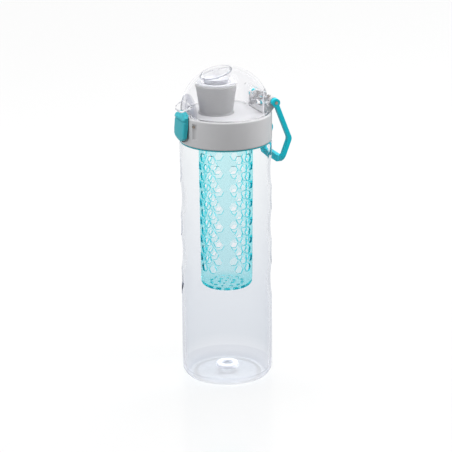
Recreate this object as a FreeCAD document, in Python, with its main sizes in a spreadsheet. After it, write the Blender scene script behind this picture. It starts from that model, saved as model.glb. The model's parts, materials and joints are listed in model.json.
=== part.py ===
import FreeCAD, Part
import math
import os
import re
import Sketcher
from FreeCAD import Placement, Rotation, Vector

# A fruit infuser water bottle: clear honeycomb-dimpled bottle, grey screw lid with a flared drinking spout
# under a clear flip dome, a push latch in front (-X), a swinging handle at the hinge (+X), and a perforated
# infuser basket hung in the mouth. Lengths are millimetres, angles degrees, +Z is up, the origin is on the
# floor under the bottle's axis.

# Driving sizes: sheet alias, value, what it measures.
SIZES = [
    ("body_dia", 73, "bottle and lid diameter"),
    ("body_wall", 2.6, "bottle wall at the ridges"),
    ("base_corner", 9, "outside round of the base"),
    ("base_recess", 1.5, "hollow under the base"),
    ("base_floor", 4.2, "floor thickness over the hollow"),
    ("foot_dia", 49, "inner edge of the standing ring"),
    ("recess_dia", 45, "flat of the hollow under the base"),
    ("gate_dia", 17, "moulding gate boss on the inside of the floor"),
    ("gate_bore", 10, "dish in the gate boss"),
    ("gate_height", 2.6, "gate boss above the floor"),
    ("gate_dish", 1.0, "dish bottom above the floor"),
    ("shoulder_height", 196.4, "top of the bottle's shoulder"),
    ("shoulder_round", 1.5, "round of the shoulder"),
    ("neck_dia", 61.2, "outside of the neck"),
    ("neck_height", 12.1, "neck above the shoulder"),
    ("mouth_dia", 53.2, "inside of the neck"),
    ("rebate_dia", 57.2, "step in the mouth that the infuser flange rests on"),
    ("dimple_count", 9, "hexagonal dimples in one row"),
    ("dimple_row_count", 3, "rows in line with the lowest one, the others lie between them"),
    ("dimple_depth", 1.2, "dimple centre below the wall"),
    ("dimple_bend", 90, "radius of a dimple's hollow along the bottle"),
    ("dimple_low", 82.4, "centre of the lowest row"),
    ("dimple_pitch", 22.6, "row to row"),
    ("basket_top_dia", 43.4, "infuser tube under its flange"),
    ("basket_base_dia", 41.2, "infuser tube at its base"),
    ("basket_wall", 1.6, "infuser tube wall"),
    ("basket_low", 77, "underside of the infuser"),
    ("basket_floor", 2, "infuser floor thickness"),
    ("basket_corner", 3.5, "round at the infuser's base"),
    ("basket_turn_angle", -5.5, "how far round the infuser sits"),
    ("flange_dia", 56.6, "infuser flange"),
    ("flange_thick", 1.5, "infuser flange thickness"),
    ("hole_side", 3.7, "side of an infuser hex hole"),
    ("hole_pitch", 15.15, "hole to hole up a column"),
    ("hole_low", 94.2, "lowest hole of a long column"),
    ("column_step_angle", 13.5, "column to column"),
    ("long_column_count", 7, "holes in a long column"),
    ("short_columns_count", 3, "short columns in a panel, the long ones lie between them"),
    ("panel_count", 4, "hole panels round the tube"),
    ("drain_dia", 3.2, "drain hole in the infuser floor"),
    ("drain_ring_inner", 6.2, "radius of the inner ring of drain holes"),
    ("drain_ring_outer", 12.6, "radius of the outer ring of drain holes"),
    ("drain_count", 6, "drain holes in the inner ring"),
    ("seal_thick", 1.5, "rim seal thickness"),
    ("seal_outer", 60.4, "rim seal outside"),
    ("seal_inner", 49.6, "rim seal inside"),
    ("liner_plate", 1.6, "liner's top plate"),
    ("liner_wall", 1.55, "liner's wall"),
    ("liner_thread_gap", 1.0, "room for the thread between liner and neck"),
    ("liner_lip", 0.9, "liner's flange under the lid's edge"),
    ("liner_lip_inset", 0.5, "liner's flange inside the lid's diameter"),
    ("press_gap", 0.05, "gap at pieces pressed together"),
    ("lid_low", 197.7, "lower edge of the lid"),
    ("lid_height", 22.3, "lid edge to deck"),
    ("lid_low_round", 1.2, "round of the lid's lower edge"),
    ("lid_top_round", 1.3, "round of the lid's upper edge"),
    ("deck_thick", 2.4, "deck thickness"),
    ("spout_offset", 7.7, "spout axis in front of the bottle's axis"),
    ("spout_height", 23, "spout above the deck"),
    ("spout_top_dia", 32.2, "outside of the spout's mouth"),
    ("spout_base_dia", 26, "outside of the spout's root"),
    ("spout_wall", 1.8, "spout wall"),
    ("spout_flange_dia", 28, "flange that the spout rests on"),
    ("spout_flange_thick", 1.1, "spout flange thickness"),
    ("stem_dia", 25.2, "spout stem through deck and liner"),
    ("stem_bore", 20.6, "bore of the stem"),
    ("stem_reach", 10.2, "stem below the deck"),
    ("stem_gap", 0.3, "stem to deck hole"),
    ("ring_wire", 1.5, "spout seal ring's thickness"),
    ("dome_dia", 70.4, "dome outside"),
    ("dome_wall", 2.2, "dome wall"),
    ("dome_skirt", 0.9, "straight skirt under the dome's half sphere"),
    ("dome_gap", 0.3, "dome rim above the deck"),
    ("front_flat", 31.5, "flat face on the dome's front, from the axis"),
    ("notch_face", 25.5, "hinge notch's upright face, from the axis"),
    ("notch_width", 33, "hinge notch width"),
    ("notch_height", 15.7, "hinge notch above the dome rim"),
    ("notch_round", 4.5, "round of the notch's upper corners"),
    ("plug_base_dia", 22.6, "plug tube at its lower end"),
    ("plug_top_dia", 24.3, "plug tube at the dome"),
    ("plug_wall", 1.7, "plug tube wall"),
    ("post_dia", 4.8, "post inside the plug tube"),
    ("lip_reach", 40, "thumb lip's edge, from the axis"),
    ("lip_width", 20.4, "thumb lip width"),
    ("lip_low", 4.1, "underside of the thumb lip above the deck"),
    ("lip_thick", 1.6, "thumb lip thickness, upright"),
    ("lip_rise", 4.8, "thumb lip's climb from its edge to the dome"),
    ("lip_corner", 6, "round of the thumb lip's corners"),
    ("catch_reach", 32.9, "catch ledge under the latch nose, from the axis"),
    ("catch_width", 17, "catch ledge width"),
    ("catch_height", 1.6, "catch ledge thickness"),
    ("stopper_depth", 6.9, "stopper below the plug tube"),
    ("stopper_flange", 1.3, "thickness of the stopper's flange over the spout's rim"),
    ("stopper_flange_dia", 30.6, "stopper's flange"),
    ("stopper_top_dia", 24.2, "stopper under its flange"),
    ("stopper_low_dia", 21.4, "stopper at its lower end"),
    ("stopper_spigot", 3, "stopper spigot inside the tube"),
    ("stopper_round", 1.2, "round of the stopper's lower edge"),
    ("post_sink", 2.4, "post's end inside the stopper"),
    ("hinge_x", 34.5, "hinge axis behind the bottle's axis"),
    ("hinge_rise", 8, "hinge axis above the deck"),
    ("pin_dia", 2.4, "hinge pin diameter"),
    ("pin_length", 42.6, "hinge pin length"),
    ("pin_press", 0.02, "radial gap where a pin is pressed in"),
    ("pin_run", 0.08, "radial gap where a piece turns on a pin"),
    ("ear_inner", 24, "between the lid's hinge ears"),
    ("ear_outer", 32, "over the lid's hinge ears"),
    ("ear_rad", 3.4, "ear's round end"),
    ("ear_root_inner", 27.2, "ear's root nearest the axis"),
    ("ear_root_outer", 31.6, "ear's root furthest from the axis"),
    ("ear_root_height", 3, "upright edge of the ear's root"),
    ("ear_back_angle", 45, "where the ear's back meets its round end, below level"),
    ("ear_front_angle", 60, "where the ear's front meets its round end, above level"),
    ("arm_outer", 23, "over the dome's hinge arms"),
    ("arm_inner", 11.6, "between the dome's hinge arms"),
    ("arm_rad", 3.2, "arm's round end"),
    ("coil_wire", 0.8, "dome spring wire"),
    ("coil_rad", 2.6, "dome spring coil radius to the wire's middle"),
    ("coil_span", 7.4, "dome spring coil length"),
    ("coil_quarter_count", 15, "dome spring's quarter turns"),
    ("coil_seat_gap", 0.3, "dome spring's legs to the deck and the dome"),
    ("handle_width", 41.8, "over the handle's arms"),
    ("handle_band", 4.4, "width of the handle's band"),
    ("handle_thick", 3.6, "handle thickness, level"),
    ("handle_eye", 3.3, "radius of the handle's pivot eye"),
    ("handle_bend_drop", 29.8, "bend below the hinge axis"),
    ("handle_bend_out", 11.7, "bend behind the hinge axis"),
    ("handle_drop", 49.3, "handle's lower edge below the hinge axis"),
    ("handle_gap", 0.5, "handle bar to the bottle"),
    ("handle_bend_round", 5, "round of the handle's bend"),
    ("handle_corner", 7, "outer round of the handle's lower corners"),
    ("handle_inner_corner", 3, "inner round of the handle's lower corners"),
    ("pocket_face", 34.5, "latch pocket's floor, from the axis"),
    ("window_depth", 4.6, "latch window behind the pocket's floor"),
    ("window_low", 14.2, "window's lower edge above the lid's lower edge"),
    ("window_top", 19.5, "window's upper edge above the lid's lower edge"),
    ("window_width", 18.8, "window width"),
    ("latch_width", 21.2, "latch lever width"),
    ("latch_gap", 0.4, "lever to pocket, each side"),
    ("latch_pin_x", 32.6, "latch pin in front of the axis"),
    ("latch_pin_rise", 16.6, "latch pin above the lid's lower edge"),
    ("latch_pin_dia", 2, "latch pin diameter"),
    ("latch_pin_length", 31.6, "latch pin length"),
    ("latch_low", 2.6, "lever's lower end above the lid's lower edge"),
    ("latch_face", 39.8, "lever's outer face, from the axis"),
    ("latch_chin", 38.7, "lever's outer face at its lower end"),
    ("latch_chin_height", 2.6, "height of the lever's turned-in lower end"),
    ("latch_belly_height", 7.9, "height of the lever's upright face"),
    ("latch_crease_height", 18.1, "crease above the lever's lower end"),
    ("latch_crease", 38.9, "crease, from the axis"),
    ("latch_crown", 36.2, "lever's upper outer edge, from the axis"),
    ("latch_height", 23.2, "lever's height"),
    ("latch_nose", 33.7, "nose tip, from the axis"),
    ("latch_nose_thick", 2.2, "nose thickness"),
    ("latch_back", 35, "lever's back above the pin, from the axis"),
    ("latch_heel", 37.4, "lever's back at its lower end, from the axis"),
    ("latch_crown_arch", 20, "radius of the lever's arched top"),
    ("latch_chin_arc", 13.2, "radius of the lever's rounded lower end"),
    ("latch_edge_round", 4, "round of the lever's upright edges"),
    ("pocket_drop", 1.1, "latch pocket below the lever's lower end"),
    ("lug_rad", 2, "round end of the lever's lugs"),
    ("lug_outer", 17.4, "over the lever's lugs"),
    ("lug_inner", 8, "between the lever's lugs"),
    ("return_rise", 6.8, "return spring above the lid's lower edge"),
    ("return_rad", 1.7, "return spring's coil radius to the wire's middle"),
    ("return_wire", 0.5, "return spring wire"),
    ("return_seat", 38.2, "return spring's seat in the lever, from the axis"),
    ("return_seat_dia", 4.8, "return spring's seat diameter"),
    ("return_quarter_count", 12, "return spring's quarter turns"),
    ("scallop_rad", 2.8, "scallop beside the latch, where the pin's end shows"),
    ("scallop_out", 1.3, "scallop's middle outside the lid's wall"),
    ("scallop_angle", 27.6, "scallop's place round from the front"),
    ("scallop_low", 6.7, "scallop's lower end above the lid's lower edge"),
    ("scallop_top", 19.2, "scallop's upper end above the lid's lower edge"),
    ("overrun", 0.3, "how far a cut runs past the face it opens"),
]

# Sizes worked out from the driving ones.
DERIVED = [
    ("body_rad", "body_dia / 2"),
    ("inner_rad", "body_rad - body_wall"),
    ("floor_top", "base_recess + base_floor"),
    ("neck_top", "shoulder_height + neck_height"),
    ("drum_rad", "body_rad * dimple_bend / (dimple_bend - body_rad)"),
    ("drum_axis", "body_rad - dimple_depth - drum_rad"),
    ("dimple_cut", "dimple_depth + overrun"),
    ("dimple_reach", "sqrt(2 * dimple_bend * dimple_cut - dimple_cut * dimple_cut)"),
    ("dimple_sweep_angle", "2 * 180 / pi * dimple_reach / drum_rad"),
    ("deck", "lid_low + lid_height"),
    ("seal_top", "neck_top + seal_thick"),
    ("liner_top", "seal_top + liner_plate"),
    ("liner_bore", "neck_dia / 2 + liner_thread_gap"),
    ("liner_rad", "liner_bore + liner_wall"),
    ("lid_bore", "liner_rad + press_gap"),
    ("hinge_z", "deck + hinge_rise"),
    ("dome_low", "deck + dome_gap"),
    ("dome_mid", "dome_low + dome_skirt"),
    ("spout_rim", "deck + spout_height"),
    ("plug_end", "spout_rim + press_gap + stopper_flange"),
    ("latch_foot", "lid_low + latch_low"),
    ("latch_top", "latch_foot + latch_height"),
    ("latch_pin_z", "lid_low + latch_pin_rise"),
    ("ring_z", "liner_top - liner_plate / 2"),
    ("ring_rad", "stem_dia / 2 + stem_gap - press_gap - ring_wire / 2"),
    ("bend_x", "hinge_x + handle_bend_out"),
    ("bend_z", "hinge_z - handle_bend_drop"),
    ("bar_x", "body_rad + handle_gap + handle_thick / 2"),
    ("bar_z", "hinge_z - handle_drop"),
]

LEFT = 1
RIGHT = -1

doc = FreeCAD.newDocument("infuser_bottle")
sheet = doc.addObject("Spreadsheet::Sheet", "Sizes")
NAMES = [entry[0] for entry in SIZES] + [entry[0] for entry in DERIVED]


def fill_sheet():
    """Driving sizes as plain numbers, worked-out sizes as formulas, each with its alias."""
    for row, (name, value, note) in enumerate(SIZES, 1):
        sheet.set(f"A{row}", name)
        sheet.set(f"B{row}", str(value))
        sheet.setAlias(f"B{row}", name)
        sheet.set(f"C{row}", note)
    for row, (name, formula) in enumerate(DERIVED, len(SIZES) + 1):
        sheet.set(f"A{row}", name)
        sheet.set(f"B{row}", "=" + formula)
        sheet.setAlias(f"B{row}", name)
    doc.recompute()


def sized(text):
    """An expression on sheet aliases, with the sheet's name put before each alias."""
    return re.sub(r"[a-z_]+", lambda m: "Sizes." + m.group() if m.group() in NAMES else m.group(), text)


def value(text):
    """The number that an expression on sheet aliases gives now."""
    return float(sheet.evalExpression(sized(text)))


def bind(item, prop, text):
    item.setExpression(prop, sized(text))


def new_sketch(body, role, name, offset=None, turn=None):
    """A sketch on one of the body's own origin planes, moved along the plane's normal by offset, or turned
    about the sketch's upright axis."""
    sketch = body.newObject("Sketcher::SketchObject", name)
    plane = [feature for feature in body.Origin.OriginFeatures if feature.Role == role][0]
    sketch.AttachmentSupport = [(plane, "")]
    sketch.MapMode = "FlatFace"
    if offset:
        bind(sketch, "AttachmentOffset.Base.z", offset)
    if turn:
        sketch.AttachmentOffset = Placement(Vector(), Rotation(Vector(0, 1, 0), value(turn)))
        bind(sketch, "AttachmentOffset.Rotation.Angle", turn)
    return sketch


def pin_point(sketch, edge, end, across, up):
    """Ties one end of an edge to its place across and up the sketch."""
    for text, axis, kind in ((across, -2, "DistanceX"), (up, -1, "DistanceY")):
        if text == "0":
            sketch.addConstraint(Sketcher.Constraint("PointOnObject", edge, end, axis))
            continue
        index = sketch.addConstraint(Sketcher.Constraint(kind, -1, 1, edge, end, value(text)))
        bind(sketch, f"Constraints[{index}]", text)


def arc_between(start, stop, radius, turn):
    """The short arc between start and stop, its centre to the left or right of the way from one to the other,
    drawn anticlockwise, as sketches keep their arcs: with its centre to the right it ends at start."""
    chord = stop - start
    half = chord.Length / 2
    side = Vector(-chord.y, chord.x, 0).normalize() * turn
    rise = radius - max(radius * radius - half * half, 0) ** 0.5
    middle = (start + stop) / 2 - side * rise
    return Part.Arc(start, middle, stop) if turn == LEFT else Part.Arc(stop, middle, start)


def draw_outline(sketch, points):
    """A closed outline. A point is (across, up), reached by a line, or (across, up, radius, turn), reached
    by an arc."""
    places = [Vector(value(point[0]), value(point[1]), 0) for point in points]
    ends = []
    for index, point in enumerate(points):
        start, stop = places[index - 1], places[index]
        if len(point) == 2:
            edge = sketch.addGeometry(Part.LineSegment(start, stop), False)
            ends.append((edge, 1, 2))
            continue
        edge = sketch.addGeometry(arc_between(start, stop, value(point[2]), point[3]), False)
        ends.append((edge, 1, 2) if point[3] == LEFT else (edge, 2, 1))
    for index, point in enumerate(points):
        edge, _, last = ends[index]
        following, first, _ = ends[(index + 1) % len(points)]
        sketch.addConstraint(Sketcher.Constraint("Coincident", edge, last, following, first))
        pin_point(sketch, edge, last, point[0], point[1])
    for (edge, _, _), point in zip(ends, points):
        if len(point) > 2:
            index = sketch.addConstraint(Sketcher.Constraint("Radius", edge, value(point[2])))
            bind(sketch, f"Constraints[{index}]", point[2])


def draw_circle(sketch, across, up, radius):
    centre = Vector(value(across), value(up), 0)
    edge = sketch.addGeometry(Part.Circle(centre, Vector(0, 0, 1), value(radius)), False)
    pin_point(sketch, edge, 3, across, up)
    index = sketch.addConstraint(Sketcher.Constraint("Radius", edge, value(radius)))
    bind(sketch, f"Constraints[{index}]", radius)


def new_body(name, x="0", z="0"):
    """A body whose own origin stands at x, z in the bottle's frame."""
    body = doc.addObject("PartDesign::Body", name)
    if x != "0":
        bind(body, "Placement.Base.x", x)
    if z != "0":
        bind(body, "Placement.Base.z", z)
    return body


def finish(body, feature):
    body.Tip = feature
    doc.recompute()
    return feature


def revolve(body, name, points):
    """A full turn of an outline in the XZ plane about the body's upright axis."""
    sketch = new_sketch(body, "XZ_Plane", name + "_profile")
    draw_outline(sketch, points)
    feature = body.newObject("PartDesign::Revolution", name)
    feature.Profile = sketch
    feature.ReferenceAxis = (sketch, ["V_Axis"])
    feature.Angle = 360
    return finish(body, feature)


def extrude(body, kind, name, role, shape, length, both=True, offset=None, turn=None, flip=False):
    """A pad or pocket of an outline, or of a circle given as three texts, to both sides of its plane or to
    one."""
    sketch = new_sketch(body, role, name + "_profile", offset, turn)
    if isinstance(shape, tuple):
        draw_circle(sketch, *shape)
    else:
        draw_outline(sketch, shape)
    doc.recompute()
    feature = body.newObject("PartDesign::" + kind, name)
    feature.Profile = sketch
    feature.SideType = "Symmetric" if both else "One side"
    feature.Reversed = flip
    bind(feature, "Length", length)
    return finish(body, feature)


def box_outline(left, right, low, top):
    return [(left, low), (right, low), (right, top), (left, top)]


def repeat(body, feature, name, rows=None, turns=()):
    """Copies of a feature up the body's axis, rows being (count, extent), then round it, turns being pairs of
    (count, angle)."""
    doc.recompute()
    steps = []
    if rows:
        step = body.newObject("PartDesign::LinearPattern", name + "_rows")
        step.Direction = (feature.Profile[0], ["V_Axis"])
        bind(step, "Occurrences", rows[0])
        bind(step, "Length", rows[1])
        steps.append(step)
    axis = [line for line in body.Origin.OriginFeatures if line.Role == "Z_Axis"][0]
    for index, (count, angle) in enumerate(turns):
        step = body.newObject("PartDesign::PolarPattern", f"{name}_turn_{index}")
        step.Axis = (axis, [""])
        bind(step, "Occurrences", count)
        bind(step, "Angle", angle)
        steps.append(step)
    pattern = body.newObject("PartDesign::MultiTransform", name)
    pattern.Originals = [feature]
    pattern.Transformations = steps
    return finish(body, pattern)


def join(kind, name, pieces):
    """A Part boolean of document objects: Cut takes the second from the first."""
    feature = doc.addObject("Part::" + kind, name)
    if kind == "Cut":
        feature.Base, feature.Tool = pieces
    else:
        feature.Shapes = pieces
    doc.recompute()
    if not feature.Shape.Solids:
        raise RuntimeError(f"{name} came out empty")
    return feature


def dimple_rows(body, name, low, count, turn=None):
    """One hexagonal dimple, hollow along the bottle and flatter than the wall round it, repeated to meet its
    neighbours in ridges. Low is the first row's height, turn how far round from +X its first dimple sits."""
    rim = "body_rad + overrun"
    top = f"{low} + dimple_reach"
    sketch = new_sketch(body, "XZ_Plane", name + "_profile", turn=turn)
    draw_outline(sketch, [
        (rim, f"{low} - dimple_reach", "dimple_bend", LEFT),
        (rim, top),
    ])
    line = Part.LineSegment(
        Vector(value("drum_axis"), value(low), 0),
        Vector(value("drum_axis"), value(top), 0),
    )
    edge = sketch.addGeometry(line, True)
    pin_point(sketch, edge, 1, "drum_axis", low)
    pin_point(sketch, edge, 2, "drum_axis", top)
    doc.recompute()
    groove = body.newObject("PartDesign::Groove", name)
    groove.Profile = sketch
    groove.ReferenceAxis = (sketch, ["Axis0"])
    groove.Midplane = True
    bind(groove, "Angle", "dimple_sweep_angle")
    finish(body, groove)
    rows = (count, f"2 * dimple_pitch * ({count} - 1)")
    repeat(body, groove, name + "s", rows, [("dimple_count", "360")])


def make_bottle():
    body = new_body("bottle_body")
    inside = "shoulder_height - body_wall"
    revolve(body, "bottle_wall", [
        ("0", "base_recess"),
        ("recess_dia / 2", "base_recess"),
        ("foot_dia / 2", "0"),
        ("body_rad - base_corner", "0"),
        ("body_rad", "base_corner", "base_corner", LEFT),
        ("body_rad", "shoulder_height - shoulder_round"),
        ("body_rad - shoulder_round", "shoulder_height", "shoulder_round", LEFT),
        ("neck_dia / 2", "shoulder_height"),
        ("neck_dia / 2", "neck_top"),
        ("rebate_dia / 2", "neck_top"),
        ("rebate_dia / 2", "neck_top - flange_thick"),
        ("mouth_dia / 2", "neck_top - flange_thick"),
        ("mouth_dia / 2", inside),
        ("inner_rad - shoulder_round", inside),
        ("inner_rad", f"{inside} - shoulder_round", "shoulder_round", RIGHT),
        ("inner_rad", "floor_top + base_corner - body_wall"),
        ("inner_rad - base_corner + body_wall", "floor_top", "base_corner - body_wall", RIGHT),
        ("gate_dia / 2", "floor_top"),
        ("gate_dia / 2", "floor_top + gate_height"),
        ("gate_bore / 2", "floor_top + gate_height"),
        ("gate_bore / 2", "floor_top + gate_dish"),
        ("0", "floor_top + gate_dish"),
    ])
    dimple_rows(body, "main_dimple", "dimple_low", "dimple_row_count", "180 / dimple_count")
    dimple_rows(body, "between_dimple", "(dimple_low + dimple_pitch)", "(dimple_row_count - 1)")
    return body


def hex_hole(side, low):
    """A hexagon with level top and bottom, its middle at height low."""
    rise = f"{side} * sqrt(3) / 2"
    return [
        (f"-{side}", low),
        (f"-{side} / 2", f"{low} - {rise}"),
        (f"{side} / 2", f"{low} - {rise}"),
        (side, low),
        (f"{side} / 2", f"{low} + {rise}"),
        (f"-{side} / 2", f"{low} + {rise}"),
    ]


def make_infuser():
    body = new_body("infuser_basket")
    bind(body, "Placement.Rotation.Angle", "basket_turn_angle")
    revolve(body, "basket_tube", [
        ("0", "basket_low"),
        ("basket_base_dia / 2 - basket_corner", "basket_low"),
        ("basket_base_dia / 2", "basket_low + basket_corner", "basket_corner", LEFT),
        ("basket_top_dia / 2", "neck_top - flange_thick"),
        ("flange_dia / 2", "neck_top - flange_thick"),
        ("flange_dia / 2", "neck_top"),
        ("basket_top_dia / 2 - basket_wall", "neck_top"),
        ("basket_base_dia / 2 - basket_wall", "basket_low + basket_corner"),
        ("basket_base_dia / 2 - basket_corner", "basket_low + basket_floor"),
        ("0", "basket_low + basket_floor"),
    ])
    reach = "basket_top_dia / 2 + overrun"
    panels = ("panel_count", "360")
    columns = (
        ("short", "(hole_low + hole_pitch / 2)", None, "(long_column_count - 1)", "short_columns_count"),
        ("long", "hole_low", "column_step_angle", "long_column_count", "(short_columns_count - 1)"),
    )
    for name, low, turn, count, wide in columns:
        hole = extrude(body, "Pocket", name + "_hole", "YZ_Plane", hex_hole("hole_side", low), reach,
                       both=False, turn=turn, flip=True)
        across = (wide, f"2 * column_step_angle * ({wide} - 1)")
        repeat(body, hole, name + "_holes", (count, f"hole_pitch * ({count} - 1)"), [across, panels])
    depth = "basket_floor + overrun"
    extrude(body, "Pocket", "drain_middle", "XY_Plane", ("0", "0", "drain_dia / 2"), depth,
            both=False, offset="basket_low", flip=True)
    for name, ring, count in (("inner", "drain_ring_inner", "drain_count"),
                              ("outer", "drain_ring_outer", "2 * drain_count")):
        drain = extrude(body, "Pocket", name + "_drain", "XY_Plane", (ring, "0", "drain_dia / 2"), depth,
                        both=False, offset="basket_low", flip=True)
        repeat(body, drain, name + "_drains", None, [(count, "360")])
    return body


def make_rim_seal():
    body = new_body("rim_seal")
    revolve(body, "seal_ring", box_outline("seal_inner / 2", "seal_outer / 2", "neck_top", "seal_top"))
    return body


def make_liner():
    body = new_body("lid_liner")
    lip = "body_rad - liner_lip_inset"
    revolve(body, "liner_cup", [
        ("liner_bore", "lid_low - liner_lip"),
        (lip, "lid_low - liner_lip"),
        (lip, "lid_low"),
        ("liner_rad", "lid_low"),
        ("liner_rad", "liner_top"),
        ("0", "liner_top"),
        ("0", "seal_top"),
        ("liner_bore", "seal_top"),
    ])
    extrude(body, "Pocket", "liner_spout_hole", "XY_Plane", ("-spout_offset", "0", "stem_dia / 2 + stem_gap"),
            "2 * deck")
    return body


def make_lid():
    body = new_body("lid_shell")
    revolve(body, "lid_cup", [
        ("lid_bore", "lid_low"),
        ("body_rad - lid_low_round", "lid_low"),
        ("body_rad", "lid_low + lid_low_round", "lid_low_round", LEFT),
        ("body_rad", "deck - lid_top_round"),
        ("body_rad - lid_top_round", "deck", "lid_top_round", LEFT),
        ("0", "deck"),
        ("0", "deck - deck_thick"),
        ("lid_bore", "deck - deck_thick"),
    ])
    extrude(body, "Pocket", "lid_spout_hole", "XY_Plane", ("-spout_offset", "0", "stem_dia / 2 + stem_gap"),
            "3 * deck")
    ear = [
        ("ear_root_inner", "deck - overrun"),
        ("ear_root_outer", "deck - overrun"),
        ("hinge_x + ear_rad * cos(ear_back_angle)", "hinge_z - ear_rad * sin(ear_back_angle)"),
        ("hinge_x - ear_rad * cos(ear_front_angle)", "hinge_z + ear_rad * sin(ear_front_angle)"),
        ("ear_root_inner", "deck + ear_root_height"),
    ]
    extrude(body, "Pad", "ear_webs", "XZ_Plane", ear, "ear_outer")
    extrude(body, "Pad", "ear_ends", "XZ_Plane", ("hinge_x", "hinge_z", "ear_rad"), "ear_outer")
    between = box_outline("ear_root_inner - ear_rad", "hinge_x + 2 * ear_rad", "deck", "hinge_z + 2 * ear_rad")
    extrude(body, "Pocket", "between_ears", "XZ_Plane", between, "ear_inner")
    extrude(body, "Pocket", "hinge_pin_holes", "XZ_Plane", ("hinge_x", "hinge_z", "pin_dia / 2 + pin_press"),
            "2 * ear_outer")
    half = "(latch_width / 2 + latch_gap)"
    chin = "(latch_chin_arc + pocket_drop)"
    side = f"latch_foot + latch_chin_arc - sqrt({chin} ^ 2 - {half} ^ 2)"
    pocket = [
        (half, side, chin, LEFT),
        (half, "deck + overrun"),
        (f"-{half}", "deck + overrun"),
        (f"-{half}", side),
    ]
    extrude(body, "Pocket", "latch_pocket", "YZ_Plane", pocket, "body_rad", both=False, offset="-pocket_face")
    window = box_outline("-pocket_face - overrun", "window_depth - pocket_face",
                         "lid_low + window_low", "lid_low + window_top")
    extrude(body, "Pocket", "latch_window", "XZ_Plane", window, "window_width")
    extrude(body, "Pocket", "latch_pin_holes", "XZ_Plane",
            ("-latch_pin_x", "latch_pin_z", "latch_pin_dia / 2 + pin_press"), "2 * body_rad")
    out = "(body_rad + scallop_out)"
    for name, side in (("near", "-"), ("far", "")):
        place = (f"-{out} * cos(scallop_angle)", f"{side}{out} * sin(scallop_angle)", "scallop_rad")
        extrude(body, "Pocket", name + "_scallop", "XY_Plane", place, "scallop_top - scallop_low",
                both=False, offset="lid_low + scallop_top")
    return body


def make_spout():
    body = new_body("drinking_spout", "-spout_offset")
    groove = "(ring_rad - ring_wire / 2)"
    revolve(body, "spout_flare", [
        ("stem_bore / 2", "deck - stem_reach"),
        ("stem_dia / 2", "deck - stem_reach"),
        ("stem_dia / 2", "ring_z - ring_wire / 2"),
        (groove, "ring_z - ring_wire / 2"),
        (groove, "ring_z + ring_wire / 2"),
        ("stem_dia / 2", "ring_z + ring_wire / 2"),
        ("stem_dia / 2", "deck"),
        ("spout_flange_dia / 2", "deck"),
        ("spout_flange_dia / 2", "deck + spout_flange_thick"),
        ("spout_base_dia / 2", "deck + spout_flange_thick"),
        ("spout_top_dia / 2", "spout_rim - spout_wall / 2"),
        ("spout_top_dia / 2 - spout_wall / 2", "spout_rim", "spout_wall / 2", LEFT),
        ("spout_top_dia / 2 - spout_wall", "spout_rim - spout_wall / 2", "spout_wall / 2", LEFT),
        ("spout_base_dia / 2 - spout_wall", "deck"),
    ])
    return body


def make_spout_seal():
    ring = doc.addObject("Part::Torus", "spout_seal")
    bind(ring, "Radius1", "ring_rad")
    bind(ring, "Radius2", "ring_wire / 2")
    bind(ring, "Placement.Base.x", "-spout_offset")
    bind(ring, "Placement.Base.z", "ring_z")
    return ring


def dome_form(name, inset, low):
    """The dome's solid form, its round, front flat and hinge notch all moved inwards by inset."""
    body = new_body(name)
    rad = f"(dome_dia / 2 - {inset})"
    revolve(body, name + "_round", [
        ("0", low),
        (rad, low),
        (rad, "dome_mid"),
        ("0", f"dome_mid + {rad}", rad, LEFT),
    ])
    flat = box_outline("-dome_dia", f"{inset} - front_flat", f"{low} - overrun", "dome_mid + dome_dia")
    extrude(body, "Pocket", name + "_flat", "XZ_Plane", flat, "2 * dome_dia")
    half = f"(notch_width / 2 + {inset})"
    top = f"dome_low + notch_height + {inset}"
    corner = f"notch_round + {inset}"
    notch = [
        (f"-{half}", f"{low} - overrun"),
        (half, f"{low} - overrun"),
        (half, f"{top} - notch_round - {inset}"),
        (f"{half} - notch_round - {inset}", top, corner, LEFT),
        (f"notch_round + {inset} - {half}", top),
        (f"-{half}", f"{top} - notch_round - {inset}", corner, LEFT),
    ]
    extrude(body, "Pocket", name + "_notch", "YZ_Plane", notch, "dome_dia",
            both=False, offset=f"notch_face - {inset}", flip=True)
    return body


def make_thumb_lip():
    """The clear lip over the latch: a plate that slopes down from the front flat, rounded in plan."""
    body = new_body("thumb_lip_form")
    low = "deck + lip_low"
    root = "dome_wall / 2 - front_flat"
    slope = [
        ("-lip_reach", low),
        (root, f"{low} + lip_rise"),
        (root, f"{low} + lip_rise + lip_thick"),
        ("-lip_reach", f"{low} + lip_thick"),
    ]
    extrude(body, "Pad", "thumb_slope", "XZ_Plane", slope, "lip_width")
    plan = new_body("thumb_lip_plan")
    half = "lip_width / 2"
    outline = [
        ("-lip_reach", f"lip_corner - {half}"),
        ("lip_corner - lip_reach", f"-{half}", "lip_corner", LEFT),
        ("0", f"-{half}"),
        ("0", half),
        ("lip_corner - lip_reach", half),
        ("-lip_reach", f"{half} - lip_corner", "lip_corner", LEFT),
    ]
    extrude(plan, "Pad", "thumb_plan", "XY_Plane", outline, "2 * deck", both=False)
    return join("MultiCommon", "thumb_lip", [body, plan])


def make_dome_arms():
    """Two arms from the notch's upright face to the hinge pin."""
    body = new_body("dome_arms")
    web = box_outline("notch_face - dome_wall / 2", "hinge_x", "hinge_z - arm_rad", "hinge_z + arm_rad")
    extrude(body, "Pad", "arm_webs", "XZ_Plane", web, "arm_outer")
    extrude(body, "Pad", "arm_ends", "XZ_Plane", ("hinge_x", "hinge_z", "arm_rad"), "arm_outer")
    between = box_outline("notch_face", "hinge_x + 2 * arm_rad",
                          "hinge_z - 2 * arm_rad", "hinge_z + 2 * arm_rad")
    extrude(body, "Pocket", "between_arms", "XZ_Plane", between, "arm_inner")
    extrude(body, "Pocket", "arm_holes", "XZ_Plane", ("hinge_x", "hinge_z", "pin_dia / 2 + pin_run"),
            "2 * arm_outer")
    return body


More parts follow.
